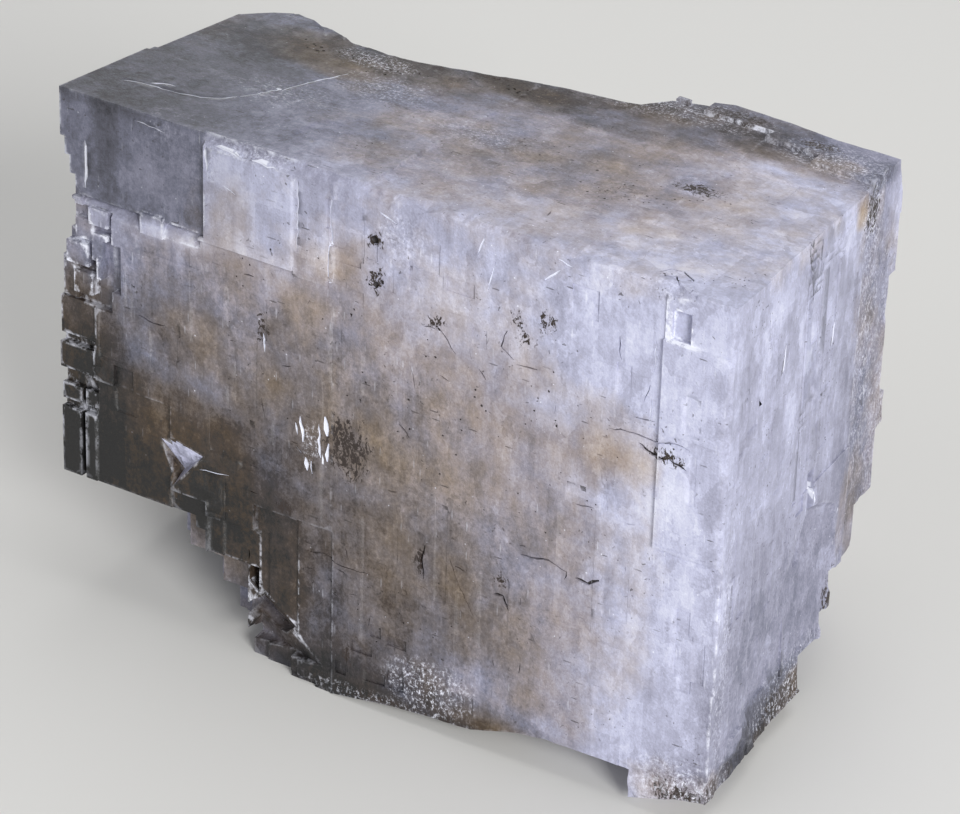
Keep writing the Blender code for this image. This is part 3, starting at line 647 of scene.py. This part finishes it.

# Where it is stained by iron, clear, or full of small glittering breaks, and which edges get a
# painted
# highlight: zones, each with its middle, its reach and, but for the clear ones, how much.
STAINS = [
    ((42.0, 0.0, 33.0), (38.0, 8.0, 34.0), 0.70), ((12.5, 0.0, 20.0), (6.0, 3.0, 5.0), 0.75),
    ((3.0, 0.0, 58.0), (9.0, 9.0, 5.0), 0.6), ((26.0, 20.0, 0.0), (34.0, 26.0, 6.0), 0.55),
    ((31.0, 0.0, 41.0), (5.0, 3.0, 6.0), 0.9), ((24.5, 0.0, 46.5), (6.0, 4.0, 7.0), 0.9),
    ((22.0, 0.0, 51.5), (5.0, 3.0, 4.0), 0.7), ((39.0, 0.0, 46.5), (6.0, 3.0, 4.0), 0.6),
    ((48.5, 0.0, 15.4), (8.0, 3.0, 6.0), 0.8), ((54.0, 0.0, 18.5), (7.0, 3.0, 6.0), 0.7),
    ((62.5, 0.0, 24.5), (9.0, 3.0, 7.0), 0.8), ((52.5, 0.0, 26.0), (8.0, 3.0, 7.0), 0.75),
    ((57.5, 0.0, 34.0), (9.0, 3.0, 7.0), 0.6), ((37.3, 0.0, 17.7), (7.0, 3.0, 7.0), 0.7),
    ((29.5, 0.0, 22.0), (8.0, 3.0, 6.0), 0.6), ((33.5, 0.0, 32.5), (8.0, 3.0, 9.0), 0.65),
    ((45.0, 0.0, 10.5), (7.0, 3.0, 6.0), 0.6), ((14.3, 0.0, 17.0), (8.0, 3.0, 5.0), 0.5),
    ((18.2, 0.0, 34.4), (9.0, 4.0, 8.0), 0.5), ((42.0, 0.0, 36.0), (12.0, 3.0, 12.0), 0.5),
    ((24.0, 0.0, 30.0), (12.0, 3.0, 10.0), 0.45), ((80.0, 0.0, 32.0), (10.0, 8.0, 14.0), 1.2),
    ((67.0, 0.0, 42.0), (18.0, 6.0, 16.0), 1.3), ((57.0, 2.0, 50.0), (13.0, 6.0, 12.0), 1.0),
    ((42.6, 0.0, 59.5), (8.0, 5.0, 3.0), 1.0), ((26.4, 0.0, 58.4), (9.0, 5.0, 3.0), 1.0),
    ((63.7, 27.5, 0.0), (9.0, 5.0, 4.0), 1.0), ((68.0, 29.5, 0.0), (8.0, 5.0, 5.0), 0.9),
    ((54.0, 31.0, 0.0), (12.0, 6.0, 4.0), 0.7), ((43.6, 34.6, 0.0), (9.0, 3.5, 3.0), 0.9),
    ((22.0, 20.0, 0.0), (16.0, 9.0, 3.0), 0.6), ((34.0, 22.5, 0.0), (10.0, 7.0, 3.0), 0.5),
    ((46.4, 9.2, 0.0), (7.0, 5.0, 2.0), 0.5), ((16.0, 19.5, 0.0), (8.0, 5.0, 3.0), 0.6),
    ((12.0, 38.0, 0.0), (14.0, 5.0, 2.0), 0.6), ((26.0, 40.0, 0.0), (14.0, 6.0, 2.0), 0.6),
    ((0.0, 25.0, 60.0), (4.0, 9.0, 6.0), 1.0), ((0.0, 17.0, 60.5), (4.0, 9.0, 4.0), 0.9),
    ((0.5, 38.5, 14.0), (4.0, 5.0, 18.0), 0.4), ((0.0, 35.0, 2.0), (2.0, 2.5, 2.5), 0.9),
    ((1.0, 38.0, 42.0), (4.0, 5.0, 15.0), 0.6), ((40.0, 46.0, 30.0), (50.0, 16.0, 44.0), 0.62),
    ((56.0, 44.0, 34.0), (14.0, 8.0, 12.0), 0.9), ((80.0, 25.0, 30.0), (10.0, 34.0, 34.0), 0.6),
    ((40.0, 22.0, 61.0), (45.0, 30.0, 3.0), 0.5)]
CLEAR = [((74.0, 6.0, 4.0), (30.0, 40.0, 14.0)), ((79.0, 3.0, 40.0), (12.0, 16.0, 22.0))]
GLITTER = [
    ((33.5, 0.0, 55.3), (7.0, 3.0, 4.0), 1.0), ((60.0, 30.4, 0.0), (6.5, 3.0, 3.0), 1.0),
    ((2.9, 0.0, 56.5), (7.0, 9.0, 5.0), 0.9), ((1.0, 2.0, 40.0), (2.5, 2.5, 26.0), 0.75),
    ((38.0, 0.0, 4.0), (4.5, 2.0, 4.0), 0.55), ((7.0, 0.0, 0.5), (4.5, 3.0, 3.0), 0.55),
    ((0.0, 39.0, 20.0), (4.0, 5.0, 30.0), 0.65), ((61.0, 0.0, 3.0), (2.0, 2.0, 5.0), 0.6),
    ((48.5, 0.0, 31.0), (1.6, 2.0, 3.6), 0.8), ((32.0, 43.0, 0.0), (22.0, 6.0, 3.0), 0.75),
    ((6.0, 41.0, 0.0), (10.0, 5.0, 3.0), 0.8), ((0.0, 38.0, 4.0), (4.0, 5.0, 6.0), 0.9),
    ((0.0, 26.0, 56.0), (4.0, 18.0, 6.0), 0.8), ((30.0, 0.0, 60.0), (26.0, 4.0, 2.6), 0.8),
    ((2.0, 46.0, 30.0), (6.0, 9.0, 34.0), 0.65), ((58.0, 46.0, 12.0), (9.0, 8.0, 6.0), 0.8),
    ((22.0, 46.0, 36.0), (12.0, 8.0, 5.0), 0.7), ((80.0, 20.0, 30.0), (8.0, 9.0, 7.0), 0.7),
    ((30.0, 5.0, 1.0), (18.0, 3.0, 2.0), 0.42), ((40.0, 20.0, 0.0), (9.0, 5.0, 2.0), 0.5),
    ((62.0, 15.0, 0.0), (9.0, 6.0, 2.0), 0.55), ((55.0, 24.0, 0.0), (8.0, 6.0, 2.0), 0.6),
    ((56.0, 0.0, 0.5), (7.0, 2.5, 1.5), 0.7), ((67.0, 2.0, 1.0), (6.0, 4.0, 3.0), 0.45)]
SHINING_EDGES = [
    ((76.5, 0.0, 17.5), (6.0, 4.0, 8.0), 1.0), ((66.0, 0.0, 12.0), (6.0, 3.0, 3.5), 1.0),
    ((56.0, 0.0, 0.5), (8.0, 3.0, 4.0), 0.8), ((61.8, 0.0, 6.0), (1.5, 2.0, 8.0), 0.9),
    ((80.0, 0.0, 8.0), (4.0, 6.0, 12.0), 0.7), ((79.0, 0.0, 32.0), (6.0, 5.0, 16.0), 0.7),
    ((64.5, 0.0, 39.0), (5.0, 4.0, 5.0), 0.4), ((53.0, 0.0, 51.0), (9.0, 6.0, 9.0), 0.75),
    ((7.0, 0.0, 3.5), (4.0, 2.0, 4.0), 0.9), ((7.8, 0.0, 16.0), (1.5, 2.0, 12.0), 0.5),
    ((0.0, 0.0, 44.0), (2.0, 2.0, 20.0), 0.8), ((0.0, 40.0, 20.0), (5.0, 8.0, 30.0), 0.6),
    ((14.0, 43.0, 0.0), (14.0, 3.0, 2.0), 0.7), ((3.0, 0.0, 56.0), (8.0, 6.0, 4.0), 0.5),
    ((5.8, 0.0, 4.0), (3.2, 2.0, 4.2), 1.5)]

# Zones with sooty strands in them: the brown lump in the front, around the larger grains, and
# along the dirty rims. Each has its middle and its reach.
SOOT = [
    ((44.2, 0.0, 30.2), (3.6, 2.0, 4.8)), ((41.1, 0.0, 5.4), (1.5, 1.5, 1.3)),
    ((41.0, 0.0, 9.8), (1.3, 1.5, 2.2)), ((20.8, 0.0, 8.2), (1.3, 1.5, 2.1)),
    ((24.4, 0.0, 8.8), (0.9, 1.5, 1.3)), ((23.0, 0.0, 10.9), (1.8, 1.5, 0.8)),
    ((51.7, 0.0, 39.8), (1.5, 1.5, 1.5)), ((33.6, 0.0, 12.2), (1.6, 1.0, 1.2)),
    ((54.7, 0.0, 19.6), (1.2, 1.0, 2.2)), ((6.6, 0.0, 18.4), (3.0, 1.0, 1.3)),
    ((35.1, 0.0, 40.3), (0.9, 1.0, 2.4)), ((25.2, 0.0, 39.4), (1.3, 1.0, 1.2)),
    ((43.7, 0.0, 54.9), (0.9, 1.0, 1.6)), ((46.8, 35.6, 0.0), (4.0, 2.2, 2.0)),
    ((40.0, 35.0, 0.0), (4.0, 2.0, 2.0)), ((31.8, 41.6, 0.0), (4.0, 2.0, 2.0)),
    ((15.2, 23.4, 0.0), (4.0, 1.8, 1.0)), ((20.3, 44.7, 0.0), (5.0, 2.0, 2.0)),
    ((9.3, 43.2, 0.0), (4.0, 2.0, 2.0)), ((0.5, 38.0, 3.0), (1.5, 3.0, 4.0)),
    ((0.0, 33.3, 49.8), (1.5, 3.0, 5.0)), ((0.0, 20.0, 56.0), (1.5, 8.0, 3.0)),
    ((2.5, 0.0, 57.5), (5.0, 5.0, 2.4)), ((30.0, 0.0, 59.5), (18.0, 2.0, 2.0))]

# Tone: level with its painted light and shade, iron stain, how clear, and how glittering, as red,
# green, blue and alpha.
tone = np.zeros((count, 4))
tone[:, 0] = np.clip(level / 255.0, 0.0, 1.0)
for middle, reach, amount in STAINS:
    tone[:, 1] = np.maximum(tone[:, 1], amount * np.sqrt(blob(spots, middle, reach)))
for middle, reach in CLEAR:
    tone[:, 2] = np.maximum(tone[:, 2], np.clip(1.6 * blob(spots, middle, reach), 0.0, 1.0))
for middle, reach, amount in GLITTER:
    tone[:, 3] = np.maximum(tone[:, 3], amount * np.sqrt(blob(spots, middle, reach)))

# Marks: dark cracks and grains, soot, bright splits with their painted glints, and broken stone, in
# the same way.
FILLED_WIDTH, FILLED_HEIGHT = 0.75, 0.05    # what is filled around a crack's foot
GRAIN_REACH, GRAIN_RIM = 1.5, 0.3           # and in a grain's pit, against its radius

marks = np.zeros((count, 4))
for channel, kind in ((0, "dark"), (2, "bright")):
    for axis, start, end, width, filled in feet[kind]:
        start, line = np.array(start), np.array(end - start)
        close = np.flatnonzero(np.abs(spots - start).max(axis=1) < 2.0)
        along = np.clip(((spots[close] - start) @ line) / (line @ line), 0.0, 1.0)
        away = spots[close] - start - along[:, None] * line
        inside = np.linalg.norm(away, axis=1) < FILLED_WIDTH * width
        inside &= np.abs(away[:, axis]) < FILLED_HEIGHT
        marks[close[inside], channel] = filled
marks[:, 2] = np.where(marks[:, 2] > 0.0, 1.0, 0.0)
for axis, middle, radius, outward in pits:
    away = np.linalg.norm(spots - np.array(middle), axis=1)
    below = (middle[axis] - spots[:, axis]) * outward
    marks[(away < radius * GRAIN_REACH) & (below > radius * GRAIN_RIM), 0] = 1.0
for middle, reach in SOOT:
    marks[:, 1] = np.maximum(marks[:, 1], np.sqrt(blob(spots, middle, reach)))
marks[:, 3] = broken

# Near the edges the colour is lightened, partly for white chips and partly as a painted highlight;
# every edge gets at least this much.
EDGE_SHINE = 0.12                   # every edge shines this much

shine = np.full(count, EDGE_SHINE)
for middle, reach, amount in SHINING_EDGES:
    shine = np.maximum(shine, amount * np.clip(2.0 * blob(spots, middle, reach), 0.0, 1.0))

edge_gap = np.array([edge_tree.find(Vector(point))[2] for point in spots])
edge_gap = np.maximum(edge_gap - EDGE_SAMPLE / 2.0, 0.0)

# The faces are not quite flat: they rise and fall by a few hundredths of a millimetre. The breaks
# crumble, in crumbs of 3 and 1.2 mm, and so do the rims at the back and the foot, and the lump at
# the foot of the front right edge.
RIM_BACK, RIM_FOOT, RIM_FADE = 35.0, 54.0, 4.0
LUMP, LUMP_REACH = (2.5, 0.0, 58.0), (9.0, 9.0, 6.0)

wave = 0.035 * field(spots, 9.0, 1.0) + 0.018 * field(spots, 2.6, 2.0)
crumble = 0.20 * field(spots, 3.0, 3.0) + 0.10 * field(spots, 1.2, 4.0)
crumbled = np.where((tone[:, 3] > 0.1) | (b > 30.0) | (c > 50.0), broken, 0.0)
rims = [(b - RIM_BACK) / RIM_FADE, (c - RIM_FOOT) / RIM_FADE, 2.0 * blob(spots, LUMP, LUMP_REACH)]
crumbled = np.maximum(crumbled, np.clip(np.maximum.reduce(rims), 0.0, 0.8))
lift = (wave * np.clip(edge_gap / 0.6, 0.25, 1.0)
        + crumble * crumbled * np.clip(edge_gap / 0.5, 0.3, 1.0)) * MM
places += normals * lift[:, None]
places = np.clip(places, np.array(solid_box[0]), np.array(solid_box[1]))
mesh.vertices.foreach_set("co", places.ravel())

# The three-sided pit in the front, each side painted with its own level: a painted highlight on the
# side that faces the light, painted shade on the dim one, and the third dark, partly painted shade
# and partly iron stain.
PIT_LOW, PIT_HIGH = (61.9, 0.02, 36.6), (67.8, 1.8, 42.1)
PIT_CORNERS = [(67.4, 0.45, 36.9), (62.2, 0.0, 37.2), (66.0, 0.6, 41.8)]
PIT_FOOT = (65.7, 1.6, 40.5)
PIT_SIDES = [(0, 1, 0.74, 0.0), (1, 2, 0.55, 0.2), (2, 0, 0.26, 0.9)]   # corners, tone, stain
corners = np.empty(len(mesh.loops), dtype=np.int32)
mesh.loops.foreach_get("vertex_index", corners)
tone, marks = tone[corners], marks[corners]
foot = TO_SPACE @ Vector(PIT_FOOT)
sides = []
for first, second, painted_light_level, iron in PIT_SIDES:
    edge_ends = [TO_SPACE @ Vector(PIT_CORNERS[index]) for index in (first, second)]
    sides.append(((edge_ends[0] - foot).cross(edge_ends[1] - foot).normalized(), painted_light_level, iron))
for polygon in mesh.polygons:
    middle = TO_CRYSTAL @ polygon.center
    if all(low < at < high for low, at, high in zip(PIT_LOW, middle, PIT_HIGH)):
        match, painted_light_level, iron = max((abs(square.dot(polygon.normal)), painted_light_level, iron)
                                       for square, painted_light_level, iron in sides)
        if match > 0.97:
            loops = slice(polygon.loop_start, polygon.loop_start + polygon.loop_total)
            tone[loops] = (painted_light_level, iron, 0.0, 0.0)
for attribute_name, values in (("tone", tone), ("marks", marks)):
    attribute = mesh.attributes.new(attribute_name, "FLOAT_COLOR", "CORNER")
    attribute.data.foreach_set("color", values.ravel())
for attribute_name, values in (("edge_gap", edge_gap), ("edge_shine", shine)):
    attribute = mesh.attributes.new(attribute_name, "FLOAT", "POINT")
    attribute.data.foreach_set("value", values)
mesh.update()

# Cloudy magnesite: glassy to satin, milky inside, with iron stains and sooty specks, fine
# feathers, tiny cleavage steps, and bright chips at its edges and where it glitters, their white
# partly fresh breaks and partly painted highlights and glints. It bends light by 1.51 to 1.70,
# depending on the direction.
COOL = [(0.0, "0A090B"), (0.20, "2E2E38"), (0.39, "606170"), (0.47, "737588"), (0.59, "9191A5"),
        (0.71, "AEAFC6"), (0.78, "C2C4DD"), (1.0, "F0F2FF")]
IRON_OXIDE, SOOTY, DARK_FLECK = "241C18", "2A1D17", "3A302C"
FRESH_BREAK_AND_GLINT, DEPTH_TINT = "EEF0FC", "A8A6B4"
WARM = [(0.0, "090706"), (0.20, "44331F"), (0.39, "746452"), (0.49, "8E7C67"), (0.59, "A5917E"),
        (0.71, "C3B3A4"), (0.86, "E8DED0"), (1.0, "F8F4EC")]

stone = new_material("cloudy_magnesite")
tree = stone.node_tree
tone_map = add(tree, "Attribute", attribute_name="tone")
mark_map = add(tree, "Attribute", attribute_name="marks")
gap_map = add(tree, "Attribute", attribute_name="edge_gap")["Fac"]
shine_map = add(tree, "Attribute", attribute_name="edge_shine")["Fac"]
tones = add(tree, "SeparateColor", {"Color": tone_map["Color"]})
mark = add(tree, "SeparateColor", {"Color": mark_map["Color"]})
glittery = tone_map["Alpha"]
rough_break = mark_map["Alpha"]

# Places along the crystal's edges in millimetres, and the same made ragged.
from_corner = add(tree, "VectorMath", {0: add(tree, "TexCoord")["Object"], 1: CORNER},
                  operation="SUBTRACT")["Vector"]
along_axes = [add(tree, "VectorMath", {0: from_corner, 1: Vector(TO_CRYSTAL.to_3x3()[row])},
                  operation="DOT_PRODUCT")["Value"] for row in range(3)]
place = add(tree, "CombineXYZ", dict(enumerate(along_axes)))["Vector"]
ragged = add(tree, "TexNoise", {"Vector": place, "Scale": 0.9, "Detail": 2.0})["Color"]
ragged = add(tree, "VectorMath", {0: ragged, 1: (1.6, 1.6, 1.6), 2: place},
             operation="MULTIPLY_ADD")["Vector"]


def scaled(size, vector=place):
    """Places counted in features of that size along a, b and c, in millimetres."""
    return add(tree, "VectorMath", {0: vector, 1: [1.0 / part for part in size]},
               operation="MULTIPLY")["Vector"]


def clouds(size, detail, roughness=0.6, distortion=0.0):
    """Soft noise with features of that size."""
    return add(tree, "TexNoise", {"Vector": scaled(size), "Scale": 1.0, "Detail": detail,
                                  "Roughness": roughness, "Distortion": distortion})["Fac"]


def maths(operation, first, second, third=0.5):
    """The outcome of one calculation on numbers or sockets."""
    return add(tree, "Math", {0: first, 1: second, 2: third}, operation=operation)["Value"]


def between(value, low, high, start=0.0, end=1.0):
    """The value's place from low to high, as a number from start to end."""
    return add(tree, "MapRange", {"Value": value, "From Min": low, "From Max": high,
                                  "To Min": start, "To Max": end})["Result"]


def blended(share, first, second):
    """Two colours mixed by a share."""
    return add(tree, "Mix", {0: share, 6: first, 7: second}, data_type="RGBA")[2]


def shades(value, steps):
    """A colour for each level from a list of levels and colours."""
    ramp = add(tree, "ValToRGB", {"Fac": value})
    elements = ramp["Color"].node.color_ramp.elements
    for _ in range(len(steps) - 2):
        elements.new(0.5)
    for element, (position, code) in zip(elements, steps):
        element.position = position
        element.color = linear(code)
    return ramp["Color"]


# Clouds, streaks and flakes at their real sizes. The finest steps of the broken skin are under
# 0.1 mm, too fine to show, so they are drawn at 0.22 mm, and crushed chips at about 0.4 mm.
cloud = clouds((7.0, 7.0, 9.0), 4.0, 0.6, 0.6)
mottle = clouds((1.7, 1.7, 2.1), 4.0, 0.75)
streak = clouds((0.7, 0.7, 7.0), 2.0)
grain = clouds((0.22, 0.22, 0.22), 1.0)
gravel = clouds((0.40, 0.36, 0.50), 3.0, 0.8)
flakes = add(tree, "TexVoronoi", {"Vector": scaled((1.5, 1.5, 2.6), ragged), "Scale": 1.0})
flake = add(tree, "SeparateColor", {"Color": flakes["Color"]})["Red"]
plates = add(tree, "TexVoronoi", {"Vector": scaled((5.5, 5.5, 9.0), ragged), "Scale": 1.0})
plate = add(tree, "SeparateColor", {"Color": plates["Color"]})["Red"]

# Small cleavage blocks: cells along the axes, each row of them shifted by its own amount.
cell = add(tree, "SeparateXYZ", {"Vector": scaled((3.1, 3.1, 5.3))})
row = add(tree, "TexWhiteNoise", {"W": maths("FLOOR", cell["Z"], 0.0)},
          noise_dimensions="1D")["Value"]
shifted = add(tree, "CombineXYZ", {"X": maths("ADD", cell["X"], row), "Z": cell["Z"],
                                   "Y": maths("ADD", cell["Y"], maths("ADD", row, 0.5))})
corner = add(tree, "VectorMath", {0: shifted["Vector"]}, operation="FLOOR")["Vector"]
block = add(tree, "TexWhiteNoise", {"Vector": corner}, noise_dimensions="3D")["Value"]

# Some of it is plain and milky, some busy with small breaks.
busy = between(clouds((11.0, 11.0, 13.0), 2.0), 0.38, 0.62, 0.3, 1.0)
busy = maths("MAXIMUM", maths("MAXIMUM", busy, rough_break), maths("MULTIPLY", glittery, 1.3))
lightness = tones["Red"]
for pattern, amount in ((cloud, 0.26), (streak, 0.10), (grain, 0.10), (flake, 0.07), (block, 0.05),
                        (gravel, between(tones["Red"], 0.78, 0.5, 0.08, 0.34)),
                        (plate, 0.07), (mottle, maths("MULTIPLY_ADD", busy, 0.30,
                                                    between(tones["Red"], 0.6, 0.25, 0.05, 0.25)))):
    lightness = maths("MULTIPLY_ADD", maths("SUBTRACT", pattern, 0.5), amount, lightness)

# Iron stains: ragged and grainy.
blots = clouds((7.0, 7.0, 8.0), 5.0, 0.62)
stained = maths("MULTIPLY_ADD", maths("SUBTRACT", blots, 0.5), 1.7, tones["Green"])
stained = maths("MULTIPLY", between(stained, 0.1, 1.05), between(tones["Green"], 0.0, 0.2))
lightness = maths("MULTIPLY_ADD", stained, -0.10, maths("ADD", lightness, 0.025))
mineral = blended(stained, shades(lightness, COOL), shades(lightness, WARM))

# Sooty specks in swarms, short dark hairs, and the dark grains and cracks.
swarm = between(clouds((6.0, 6.0, 6.0), 2.0), 0.45, 0.6)
speck = add(tree, "TexVoronoi", {"Vector": scaled((0.9, 0.9, 0.9), ragged), "Scale": 1.0})
speck = maths("MULTIPLY", maths("LESS_THAN", speck["Distance"], 0.13), swarm)
hair = add(tree, "TexVoronoi", {"Vector": scaled((5.0, 0.8, 0.8)), "Scale": 1.0})
hair = maths("MULTIPLY", maths("LESS_THAN", hair["Distance"], 0.11), swarm)
sooty = maths("MULTIPLY", maths("MAXIMUM", speck, hair), 0.65)
sooty = maths("MAXIMUM", sooty, between(mark["Red"], 0.25, 0.45, 0.0, 0.95))
mineral = blended(sooty, mineral, linear(IRON_OXIDE))
strands = add(tree, "TexNoise", {"Vector": scaled((0.4, 0.4, 1.4), ragged), "Scale": 1.0,
                                 "Detail": 3.0, "Roughness": 0.7})["Fac"]
strands = maths("MULTIPLY_ADD", mark["Green"], 0.32, strands)
mineral = blended(maths("MULTIPLY", between(strands, 0.70, 0.76), between(mark["Green"], 0.0, 0.2)),
                  mineral, linear(SOOTY))

# Bright feathers inside, white chips along the edges with a painted highlight on them, painted
# glints and glitter, and white splits, some of them painted glints.
feather = add(tree, "TexNoise", {"Vector": scaled((2.4, 2.4, 3.6), ragged), "Scale": 1.0,
                                 "Detail": 2.0}, noise_type="RIDGED_MULTIFRACTAL")["Fac"]
feather = maths("MULTIPLY", between(feather, 0.75, 1.2, 0.0, 0.5),
                maths("MULTIPLY", busy, lightness))
# Glints: tiny white dots in the lighter parts, painted highlights.
glint = add(tree, "TexVoronoi", {"Vector": scaled((1.4, 1.4, 1.4)), "Scale": 1.0})["Distance"]
glint = maths("MULTIPLY", maths("LESS_THAN", glint, 0.06), between(mottle, 0.5, 0.55, 0.0, 1.2))
glint = maths("MULTIPLY", glint, lightness)
wisp = add(tree, "TexVoronoi", {"Vector": scaled((0.8, 0.8, 5.0)), "Scale": 1.0})["Distance"]
wisp = maths("MULTIPLY", between(wisp, 0.14, 0.08, 0.0, 0.5), maths("MULTIPLY", busy, lightness))
# Chips along the edges: white chips with a painted edge highlight on them.
chips_and_edge_highlight = maths("MULTIPLY", between(gap_map, 0.24, 0.06), between(mottle, 0.46, 0.6))
chips_and_edge_highlight = maths("MULTIPLY", chips_and_edge_highlight, maths("MULTIPLY", shine_map, between(rough_break, 1.0, 0.4, 0.3)))
# Dark flecks where it glitters, among the bright sparkle.
crumbly = between(maths("MULTIPLY", glittery, mottle), 0.14, 0.46)
mineral = blended(maths("MULTIPLY", between(gravel, 0.46, 0.36, 0.0, 0.85), crumbly), mineral,
                  linear(DARK_FLECK))
# Sparkle where it glitters: painted glints.
sparkle = maths("MULTIPLY", between(gravel, 0.53, 0.63), crumbly)
bright = maths("MAXIMUM", maths("MAXIMUM", maths("MAXIMUM", feather, wisp),
                                maths("MAXIMUM", chips_and_edge_highlight, glint)),
               maths("MAXIMUM", sparkle, between(mark["Blue"], 0.25, 0.45)))
mineral = blended(bright, mineral, linear(FRESH_BREAK_AND_GLINT))

# Fine grain and cleavage steps in relief, satin where it is broken, and smoky where it is clear.
relief = maths("MULTIPLY_ADD", grain, 0.5, maths("MULTIPLY_ADD", block, 0.4, mottle))
bumped = add(tree, "Bump", {"Strength": 0.7, "Distance": 0.00012, "Height": relief})["Normal"]
gloss = between(maths("MULTIPLY_ADD", rough_break, 0.4, grain), 0.3, 1.0, 0.46, 0.8)
see_through = maths("MULTIPLY", tones["Blue"], 0.35)
shade = add(tree, "BsdfPrincipled", {"Base Color": mineral, "Roughness": gloss, "IOR": 1.6,
                                     "Coat Weight": 0.08, "Coat Roughness": 0.25,
                                     "Transmission Weight": see_through, "Normal": bumped})
inside = add(tree, "VolumeAbsorption", {"Color": linear(DEPTH_TINT), "Density": 25.0})
add(tree, "OutputMaterial", {"Surface": shade["BSDF"], "Volume": inside["Volume"]})

crystal.data.materials.clear()
crystal.data.materials.append(stone)
bpy.ops.object.select_all(action="DESELECT")
crystal.select_set(True)
bpy.context.view_layer.objects.active = crystal
bpy.ops.object.shade_smooth_by_angle(angle=math.radians(20.0))
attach(crystal, "root")
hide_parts("magnesite_crystal")
